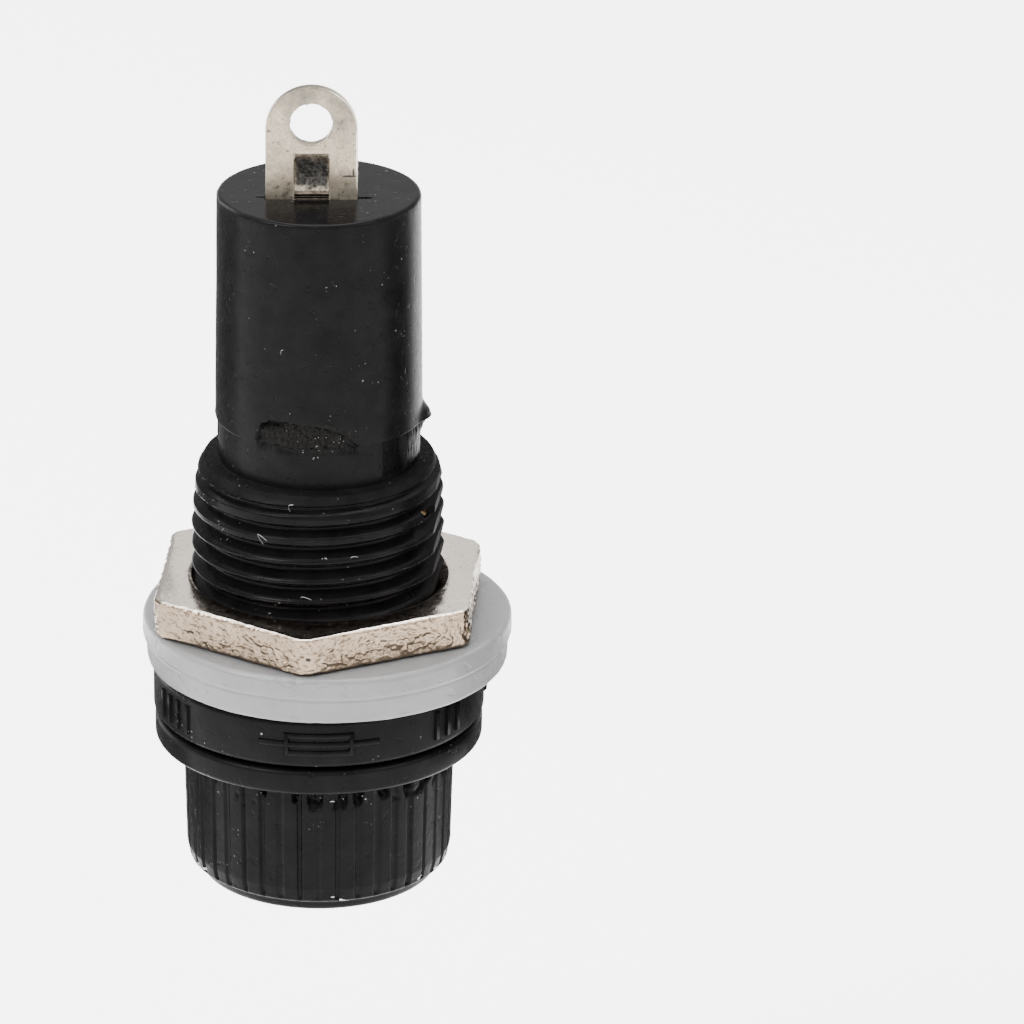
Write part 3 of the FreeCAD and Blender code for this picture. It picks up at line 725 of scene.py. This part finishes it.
def barrel_shape(radius, turn, height):
    """Cuts the panel thread, its flat and small moulding faults into the barrel."""
    phase = (height - 0.9) - turn / (2.0 * math.pi)
    off_ridge = np.abs((phase % 1.0) - 0.5)
    ridge = np.interp(off_ridge, [0.0, 0.03, 0.08, 0.143, 0.42, 0.5],
                      [CREST, 5.995, 5.965, 5.90, 5.43, 5.41])
    points = to_points(radius, turn, height)
    wear = 0.012 * lattice_noise(points, 0.9, 3) + 0.008 * lattice_noise(points, 0.25, 4)
    ridge = ridge + wear * smoothstep(5.5, 5.9, ridge)
    start = smoothstep(0.35, 0.55, height)
    ridge = CREST + (ridge - CREST) * start
    away = turned_from(turn, -9.0)
    flat = np.where(np.abs(away) < 0.7, FLAT / np.cos(np.clip(away, -0.7, 0.7)), 9.0)
    taper = np.interp(height, [6.5, 7.2, 8.14, 9.2, 9.75, 10.25], [6.1, 5.98, 5.91, 5.80, 5.67, 5.38])
    thread = np.minimum(np.minimum(np.minimum(ridge, flat), radius), taper)
    pit = (np.abs(turned_from(turn, -28.3)) * 5.5 < 0.5) & (np.abs(height - 8.3) < 0.26)
    thread = np.where(pit, np.minimum(thread, 5.38 + 0.03 * lattice_noise(points, 0.15, 6)), thread)
    barrel = (radius > 5.2) & (radius < 6.05) & (height > 0.05) & (height < THREAD_END + 0.01)
    end_face = (height > THREAD_END - 0.02) & (radius > 4.75)
    grit = 0.02 * lattice_noise(points, 0.13, 13) + 0.03 * lattice_noise(points, 0.6, 14) - 0.03
    return np.where(barrel, thread, radius), height + np.where(end_face, grit, 0.0)


def make_barrel():
    corners = [
        (5.9, BEZEL_FRONT, 0.1), (BEZEL, BEZEL_FRONT, 0.28), (BEZEL, 0.0, 0.32), (CREST, 0.0, 0.0),
        (CREST, 0.1, 0.0), (CREST, THREAD_END - 0.6, 0.0), (5.42, THREAD_END, 0.05),
        (4.69, THREAD_END, 0.0), (4.69, 9.0, 0.0), (BORE, 9.0, 0.0), (BORE, -1.6, 0.0),
        (4.6, -1.6, 0.0), (4.6, -1.95, 0.0), (5.9, -1.95, 0.0),
    ]
    rows = rounded(corners, closed=True)
    outer = refined(rows, 0.035, 0.05, THREAD_END, closed=True)
    return lathe("barrel", outer, 480, barrel_shape, closed=True, sharp=50.0)


def tube_shape(radius, turn, height):
    """Gate scar at the front, flash at both sides, a groove and a rib on the neck."""
    points = to_points(radius, turn, height)
    outside = radius > 4.6
    across = radius * np.cos(turn)
    front = np.sin(turn) < 0.0
    ragged = 0.05 * lattice_noise(points, 0.18, 10)
    top = np.interp(across, [-2.85, -2.65, -2.25, -1.5, 0.07, 1.0, 1.45, 1.85],
                    [12.8, 13.32, 13.56, 13.6, 13.44, 13.12, 12.78, 12.3]) + ragged
    inside = smoothstep(-2.92, -2.82, across + ragged) * (1.0 - smoothstep(1.78, 1.9, across))
    inside = inside * smoothstep(12.06, 12.14, height + ragged)
    inside = inside * (1.0 - smoothstep(top - 0.05, top + 0.02, height)) * front
    rough = 0.05 * lattice_noise(points, 0.3, 11) + 0.075 * lattice_noise(points, 0.11, 12)
    hollow = smoothstep(12.95, 13.45, height) * (1.0 - smoothstep(-2.0, -1.3, across))
    floor_radius = 4.64 - 0.26 * hollow + rough
    scarred = radius + inside * (np.minimum(floor_radius, radius) - radius)
    wave = 0.007 * lattice_noise(points, 2.4, 7) * smoothstep(12.8, 14.0, height)
    rim = 0.012 * lattice_noise(points, 0.35, 9) * smoothstep(22.6, 22.9, height)
    grow = np.where(outside, scarred - radius + wave, 0.0) + np.where(radius > 4.3, rim, 0.0)
    for bearing, reach, slim, heights, shares in (
            (-4.0, 0.43, 0.16, [11.75, 11.9, 12.35, 12.62, 13.0], [0.0, 0.5, 1.0, 0.8, 0.0]),
            (180.0, 0.07, 0.03, [10.9, 11.2, 12.0, 12.7], [0.0, 1.0, 0.8, 0.0])):
        lump = np.interp(height, heights, shares) * np.exp(-(turned_from(turn, bearing) / slim) ** 2)
        grow = grow + np.where(outside, reach * lump, 0.0)
    neck = smoothstep(10.2, 10.3, height) * (1.0 - smoothstep(STEP - 0.06, STEP, height)) * outside
    groove = 1.0 - smoothstep(0.145, 0.16, np.abs(turned_from(turn, -42.0)))
    rib = 1.0 - smoothstep(0.18, 0.20, np.abs(turned_from(turn, -21.5)))
    rib = rib * smoothstep(10.5, 10.62, height)
    rib_skin = 0.11 + 0.03 * lattice_noise(points, 0.12, 15)
    return radius + grow + neck * (rib * rib_skin - 0.22 * groove), height


def ragged_prism(name, centre, half, seed):
    """An irregular upright prism through the tube's end wall, for a crack."""
    rng = np.random.default_rng(seed)
    count = 14
    ring = []
    for index in range(count):
        angle = 2.0 * math.pi * index / count
        reach = rng.uniform(0.65, 1.0)
        ring.append((centre[0] + half[0] * reach * math.cos(angle),
                     centre[1] + half[1] * reach * math.sin(angle)))
    vertices = [(x * MM, y * MM, z * MM) for z in (TUBE_END - 0.5, TUBE_END + 0.2) for x, y in ring]
    faces = [tuple(reversed(range(count))), tuple(range(count, 2 * count))]
    for index in range(count):
        after = (index + 1) % count
        faces.append((index, after, count + after, count + index))
    return mesh_object(name, vertices, faces)


def make_tube():
    corners = [
        (4.70, 9.0, 0.0), (4.70, STEP, 0.03), (4.85, STEP, 0.05), (4.84, 14.0, 0.0),
        (4.74, TUBE_END, 0.2), (4.35, TUBE_END, 0.0), (2.6, TUBE_END, 0.0), (0.0, TUBE_END, 0.0),
    ]
    inner = [(0.0, 22.2), (2.85, 22.2), (2.85, 9.0), (4.70, 9.0)]
    rows = refined(rounded(corners), 0.05, 10.1, 14.0)
    rows = refined(rows, 0.25, 8.9, TUBE_END + 0.1)
    outside = lathe("tube_outside", rows, 576, tube_shape, sharp=50.0)
    inside = lathe("tube_inside", inner, 576, sharp=50.0)
    tube = join("tube", [outside, inside], 50.0)
    weld = tube.modifiers.new("weld", "WELD")
    weld.merge_threshold = 1e-6
    end_slot = box_object("end_slot", (4.32, 0.61, 1.6),
                          Matrix.Translation((LUG_SHIFT * MM, LUG_Y * MM, 22.8 * MM)))
    left_crack = ragged_prism("left_crack", (LUG_SHIFT - 2.3, -0.86), (0.38, 0.10), 3)
    right_crack = ragged_prism("right_crack", (LUG_SHIFT + 2.45, -0.98), (0.50, 0.16), 8)
    side_slot = box_object("side_slot", (3.16, 12.4, 0.6),
                           side_matrix() @ Matrix.Translation((0.0, 5.8 * MM, 0.0)))
    tube = cut_away(tube, [end_slot, left_crack, right_crack, side_slot])
    tube.name = "holder_tube"
    smooth(tube.data, 50.0)
    for face in tube.data.polygons:
        if abs(face.normal.z) > 0.9999:
            face.use_smooth = False
    return tube


def curved_bar(first, last, low, high, inner=7.75, outer=7.97, edge=0.05):
    """A raised bar on the bezel between two bearings in degrees and two heights in mm."""
    steps = max(2, int(abs(last - first) / 1.5))
    slim = math.degrees(edge / outer)
    vertices = []
    for index in range(steps + 1):
        angle = first + (last - first) * index / steps
        inset = slim if index == 0 else (-slim if index == steps else 0.0)
        for radius, height, shift in (
                (inner, low, 0.0), (outer - edge, low, 0.0), (outer, low + edge, inset),
                (outer, high - edge, inset), (outer - edge, high, 0.0), (inner, high, 0.0)):
            turn = math.radians(angle + shift)
            vertices.append((radius * math.cos(turn) * MM, radius * math.sin(turn) * MM, height * MM))
    faces = []
    for index in range(steps):
        a = index * 6
        b = a + 6
        for corner in range(6):
            after = (corner + 1) % 6
            faces.append((a + corner, b + corner, b + after, a + after))
    faces.append(tuple(range(6)))
    faces.append(tuple(range(steps * 6 + 5, steps * 6 - 1, -1)))
    return mesh_object("bar", vertices, faces)


def make_marks():
    """Generic raised marks round the bezel: a fuse symbol and plain index dashes."""
    bars = []
    low, high = -2.05, -0.42
    middle = 0.5 * (low + high)

    def fuse_symbol(centre):
        half = 12.0
        thick = 0.26
        turn = math.degrees(thick / 7.9)
        bars.append(curved_bar(centre - half, centre + half, low + 0.25, low + 0.25 + thick))
        bars.append(curved_bar(centre - half, centre + half, high - 0.25 - thick, high - 0.25))
        bars.append(curved_bar(centre - half, centre - half + turn, low + 0.25, high - 0.25))
        bars.append(curved_bar(centre + half - turn, centre + half, low + 0.25, high - 0.25))
        bars.append(curved_bar(centre - half - 9.0, centre + half + 9.0, middle - thick / 2,
                               middle + thick / 2))

    def dashes(centre, count):
        for index in range(count):
            place = centre + (index - (count - 1) / 2.0) * 5.5
            bars.append(curved_bar(place - 1.0, place + 1.0, low + 0.1, high - 0.1))

    fuse_symbol(-90.0)
    dashes(-150.0, 4)
    dashes(-40.0, 3)
    fuse_symbol(90.0)
    return bars


def make_key():
    return curved_bar(-5.0, 5.0, -1.62, -0.36, 7.6, 8.0, 0.08)


def fibre(bearing, radius, height, reach, bend, thick=0.012):
    """A tiny curved hair lying on the barrel; lengths in mm."""
    steps, sides = 8, 5
    vertices = []
    for index in range(steps + 1):
        t = index / steps - 0.5
        turn = math.radians(bearing) + t * reach[0] / radius + bend * t * t / radius
        z = height + t * reach[1] - bend * t * t
        lift = radius + 0.02 + 0.05 * (1.0 - 4.0 * t * t)
        for side in range(sides):
            angle = 2.0 * math.pi * side / sides
            r = lift + thick * math.cos(angle)
            vertices.append((r * math.cos(turn) * MM, r * math.sin(turn) * MM,
                             (z + thick * math.sin(angle)) * MM))
    return mesh_object("fibre", vertices, swept_faces(steps, sides))


def make_lint():
    """A few hairs of packing dust, as on the real one."""
    hairs = [fibre(-104.0, 5.72, 9.87, (0.16, 0.34), 0.5), fibre(-118.5, 5.88, 8.3, (0.30, 0.12), 1.6),
             fibre(-75.0, 5.93, 7.4, (0.34, 0.06), 0.4), fibre(-97.0, 5.95, 5.45, (0.5, -0.05), 0.5),
             fibre(-111.0, 4.83, 17.1, (0.10, 0.26), 0.2)]
    lint = join("lint", hairs)
    finish_piece(lint, dust, "holder")
    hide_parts("holder_body")


def make_holder():
    make_lint()
    pieces = [make_barrel(), make_key()] + make_marks()
    skin = join("holder_barrel", pieces, 50.0)
    for piece in (skin, make_tube()):
        finish_piece(piece, phenolic, "holder")
        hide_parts("holder_body")


# ---- other pieces

def hexagon_radius(turn, across, corner_limit, shift):
    sector = math.pi / 3.0
    away = (turn - shift + sector / 2.0) % sector - sector / 2.0
    return np.minimum(0.5 * across / np.cos(away), corner_limit)


def nut_shape(radius, turn, height):
    outline = hexagon_radius(turn, NUT_ACROSS, NUT_CORNER, NUT_BEARING)
    outer = radius < 0.0
    base = np.where(outer, outline + radius, radius)
    points = to_points(base, turn, height)
    side = np.clip(1.0 + radius / 0.30, 0.0, 1.0) * outer
    torn = (1.0 - 0.6 * smoothstep(3.6, 4.1, height)) * (0.4 + 0.6 * smoothstep(2.6, 3.0, height))
    slanted = points + np.array([0.5, 0.5, 0.0]) * height[..., None]
    broad = lattice_noise(slanted, 0.95, 21)
    creases = np.abs(lattice_noise(slanted * np.array([0.6, 0.6, 1.0]), 0.34, 22))
    fine = lattice_noise(points, 0.14, 23)
    fracture = 0.07 * broad - 0.085 * creases + 0.04 * fine + 0.01
    jagged = 0.05 * lattice_noise(points, 0.22, 25) * smoothstep(3.95, 4.25, height)
    base = base + side * (fracture * (0.3 + 0.7 * torn) + jagged - 0.05)
    top = (height > 4.2) & (radius != 0.0)
    pillow = -0.05 * smoothstep(6.6, 7.9, base) - 0.03 * (1.0 - smoothstep(6.0, 6.6, base))
    lifted = height + np.where(top, pillow + 0.008 * lattice_noise(points, 0.5, 24), 0.0)
    phase = (height - 1.4) - turn / (2.0 * math.pi)
    off_groove = np.abs(((phase + 0.5) % 1.0) - 0.5)
    thread = np.interp(off_groove, [0.0, 0.093, 0.41, 0.5], [6.07, 6.07, 5.52, 5.52])
    hole = (radius > 0.0) & (radius < 5.60)
    return np.where(hole, np.maximum(thread, radius), base), lifted


def make_nut():
    base = 2.45
    top = 4.35
    rows = [(-1.2, base), (-0.5, base), (-0.16, base + 0.02), (-0.05, base + 0.08),
            (-0.01, base + 0.16)]
    rows += [(-0.001, base + 0.22 + 0.05 * k) for k in range(30)]
    rows += [(-0.008, top - 0.16), (-0.03, top - 0.09), (-0.08, top - 0.03), (-0.16, top),
             (-0.35, top), (-0.7, top), (-1.1, top)]
    rows += [(6.3, top), (6.1, top - 0.03), (6.02, top - 0.10), (5.52, top - 0.5)]
    rows += [(5.52, top - 0.5 - 0.04 * k) for k in range(1, 32)]
    rows += [(5.53, base + 0.12), (5.7, base)]
    nut = lathe("panel_nut", rows, 960, nut_shape, closed=True, sharp=50.0)
    finish_piece(nut, nut_plate, "nut")
    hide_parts("hex_nut")


def washer_shape(radius, turn, height):
    points = to_points(radius, turn, height)
    edge = smoothstep(8.0, 8.5, radius)
    wave = 0.02 * lattice_noise(points, 1.6, 31) + 0.012 * lattice_noise(points, 0.45, 32)
    nicks = -0.05 * smoothstep(0.55, 0.85, lattice_noise(points, 0.5, 33))
    return radius + edge * (wave + nicks - 0.02), height + 0.008 * lattice_noise(points, 0.9, 34)


def make_washer():
    low, high = 0.11, 2.41
    middle = 1.30
    corners = [
        (6.42, low, 0.1), (8.54, low, 0.2), (8.62, middle - 0.10, 0.10), (8.60, middle, 0.06),
        (8.75, middle + 0.16, 0.14), (8.74, high, 0.26), (6.42, high, 0.12),
    ]
    rows = refined(rounded(corners, closed=True), 0.12, low - 0.1, high + 0.1, closed=True)
    washer = lathe("seal_washer", rows, 512, washer_shape, closed=True, sharp=60.0,
                   centre=(0.4, 0.0))
    finish_piece(washer, nylon, "washer")
    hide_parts("nylon_washer")


FLUTES = 42


def cap_shape(radius, turn, height):
    """Irregular flutes with ragged ends against the flange."""
    points = to_points(radius, turn, height)
    position = turn / (2.0 * math.pi) * FLUTES
    index = np.floor(position).astype(np.int64) % FLUTES
    rng = np.random.default_rng(5)
    depth = rng.uniform(0.07, 0.17, FLUTES)[index]
    width = rng.uniform(0.12, 0.24, FLUTES)[index]
    offset = rng.uniform(-0.08, 0.08, FLUTES)[index]
    off = np.abs((position % 1.0) - 0.5 + offset)
    groove = 1.0 - smoothstep(0.35 * width, width, off)
    zone = smoothstep(-10.1, -9.85, height) * (1.0 - smoothstep(-4.2, -4.02, height))
    grip = (radius > 5.9) & (radius < 6.6) & (height < -3.91)
    near_flange = smoothstep(-5.4, -4.6, height)
    right = 1.0 - smoothstep(0.5, 1.2, np.abs(turned_from(turn, -45.0)))
    spread = lattice_noise(points * np.array([1.0, 1.0, 0.5]), 0.38, 41)
    torn = smoothstep(0.25, 0.5, spread + 0.22 * right)
    pits = near_flange * torn * (0.24 + 0.12 * lattice_noise(points, 0.12, 43))
    cut = zone * (-depth * groove - 0.02) - zone * pits
    skin = 0.006 * lattice_noise(points, 0.2, 44)
    wave = 0.008 * lattice_noise(points, 1.8, 42)
    return radius + np.where(grip, cut + skin, 0.0) + np.where(radius > 5.0, wave, 0.0), height


def make_cap():
    corners = [
        (0.0, -10.79, 0.0), (2.5, -10.8, 0.0), (5.62, -10.8, 0.34), (5.76, -10.3, 0.1),
        (6.2, -10.05, 0.22), (6.34, -9.4, 0.4), (6.46, -3.9, 0.1), (7.78, -3.9, 0.28),
        (7.78, -2.65, 0.24), (5.6, -2.65, 0.1), (5.6, -2.05, 0.1), (3.3, -2.05, 0.0),
        (3.3, -1.92, 0.0), (0.8, -1.92, 0.0), (0.8, -5.5, 0.0), (0.0, -5.5, 0.0),
    ]
    rows = refined(rounded(corners), 0.08, -10.81, -3.89)
    cap = lathe("knurled_cap", rows, FLUTES * 20, cap_shape, sharp=50.0)
    finish_piece(cap, phenolic, "cap")
    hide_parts("screw_cap")


def sheet_along(name, line, thickness, half_width, shift):
    """A sheet that follows a line of (y, z) points, in mm, with its front face on the line."""
    line = [np.array(p, dtype=float) for p in line]
    front = []
    back = []
    for index, point in enumerate(line):
        before = line[max(index - 1, 0)]
        after = line[min(index + 1, len(line) - 1)]
        along = (after - before) / np.linalg.norm(after - before)
        inward = np.array([-along[1], along[0]]) * thickness
        front.append(point)
        back.append(point + inward)
    section = front + back[::-1]
    count = len(section)
    vertices = []
    for side in (shift - half_width, shift + half_width):
        vertices.extend([(side * MM, y * MM, z * MM) for y, z in section])
    faces = [(i, (i + 1) % count, count + (i + 1) % count, count + i) for i in range(count)]
    for index in range(len(line) - 1):
        a, b, c, d = index, index + 1, count - 2 - index, count - 1 - index
        faces.append((a, d, c, b))
        faces.append((count + a, count + b, count + c, count + d))
    return mesh_object(name, vertices, faces, 35.0)


def make_end_lug():
    half = 2.125
    centre = 26.6
    outline = [(-half, 22.0), (half, 22.0)] + arc((0.0, centre), half, 0.0, 180.0, 64)
    hole = []
    for index, (x, z) in enumerate(arc((-0.02, LUG_HOLE_Z), 0.985, 0.0, 354.375, 63)):
        nick = 0.05 if index in (18, 31) else (0.02 if index % 7 == 3 else 0.0)
        reach = 1.0 - nick
        hole.append((-0.02 + (x + 0.02) * reach, LUG_HOLE_Z + (z - LUG_HOLE_Z) * reach))
    window = [(-0.80, 23.3), (0.80, 23.3), (0.80, 25.49), (-0.80, 25.49)]
    stand = Matrix.Rotation(math.pi / 2.0, 4, "X")
    stand.translation = (LUG_SHIFT * MM, LUG_Y * MM, 0.0)
    lug = plate("lug", [outline, hole, window], 0.55, 0.06, stand)
    foot = plate("foot", [arc((0.0, 0.0), 2.75, -25.9, 205.9, 48)], 0.5, 0.05,
                 Matrix.Translation((0.0, 0.0, 21.95 * MM)))
    terminal = join("end_solder_lug", [lug, foot], 28.0)
    finish_piece(terminal, lug_tin, "holder")
    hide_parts("end_terminal")
    bent = sheet_along("end_lug_tongue", [
        (-1.19, 25.62), (-1.17, 25.45), (-1.08, 25.3), (-0.97, 24.9), (-0.90, 24.5),
        (-0.88, 24.2), (-0.92, 24.0), (-1.02, 23.84), (-1.13, 23.72), (-1.15, 23.55), (-1.10, 23.51),
        (-1.10, 23.48), (-1.16, 23.45), (-1.16, 23.42), (-1.12, 23.40), (-1.12, 23.385), (-1.2, 23.36),
        (-1.2, 23.31)], 0.3, 0.795, LUG_SHIFT)
    finish_piece(bent, tongue_tin, "holder")
    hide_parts("end_terminal")


def make_side_lug():
    half = 1.5
    centre = 9.7
    outline = [(-half, -0.25), (half, -0.25)] + arc((0.0, centre), half, 0.0, 180.0, 40)
    hole = arc((0.0, centre), 1.0, 0.0, 352.5, 47)
    strip = plate("strip", [outline, hole], 0.45, 0.05, side_matrix())
    ring = plate("ring", [arc((0.0, 0.0), 4.94, 0.0, 356.25, 95), arc((0.0, 0.0), 3.05, 0.0, 355.0, 71)],
                 0.38, 0.04, Matrix.Translation((0.0, 0.0, 8.8 * MM)))
    terminal = join("side_solder_lug", [strip, ring], 28.0)
    finish_piece(terminal, tinned, "holder")
    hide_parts("side_terminal")


def make_spring():
    """The rear spring, shorter than in the CAD by the contact's travel, so it never enters the foot."""
    wire, coil, turns, steps, sides = 0.22, 1.9, 3.2, 220, 14
    solid = nodes["contact_spring"]
    heights = [(solid.matrix_world @ Vector(corner)).z / MM for corner in solid.bound_box]
    first = min(heights) + wire
    last = max(heights) - wire - CONTACT_TRAVEL
    share, around = np.meshgrid(np.linspace(0.0, 1.0, steps + 1),
                                np.linspace(0.0, 2.0 * math.pi, sides, endpoint=False), indexing="ij")
    reach = coil + wire * np.cos(around)
    turn = 2.0 * math.pi * turns * share
    height = first + (last - first) * share + wire * np.sin(around)
    vertices = to_points(reach, turn, height).reshape(-1, 3) * MM
    spring = mesh_object("rear_spring", vertices.tolist(), swept_faces(steps, sides))
    finish_piece(spring, spring_wire, "rear_contact")
    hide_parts("contact_spring")


def finish_piece(piece, material, body):
    piece.data.materials.clear()
    piece.data.materials.append(material)
    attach(piece, body)


def paint(names, material):
    for name in names:
        for slot in nodes[name].material_slots:
            slot.material = material


make_camera()
make_world()
make_lights()
make_floor()
make_flags()

phenolic = make_phenolic()
nickel = make_nickel("nickel_plate")
nut_plate = make_nut_plate()
tinned = make_nickel("tinned_brass", (0.34, 0.30, 0.26), (0.17, 0.15, 0.13), (0.22, 0.42), 0.8)
lug_tin = make_lug_tin()
dust = make_dust()
tongue_tin = make_tongue_tin()
spring_wire = make_nickel("spring_wire", (0.26, 0.26, 0.26), (0.15, 0.15, 0.15), (0.2, 0.35), 0.4)
ferrule_plate = make_nickel("ferrule_plate", (0.34, 0.33, 0.315), (0.20, 0.19, 0.175), (0.10, 0.20), 0.3)
brass = make_brass()
nylon = make_nylon()
glass = make_glass()
solder = make_solder()

make_holder()
make_nut()
make_washer()
make_cap()
make_end_lug()
make_side_lug()
make_spring()

paint(["contact_sleeve", "carrier_sleeve", "carrier_pin"], brass)
paint(["contact_plunger", "carrier_clip"], nickel)
paint(["fuse_front_ferrule", "fuse_rear_ferrule"], ferrule_plate)
paint(["fuse_wire"], spring_wire)
paint(["fuse_glass_tube"], glass)
paint(["fuse_front_solder", "fuse_rear_solder"], solder)
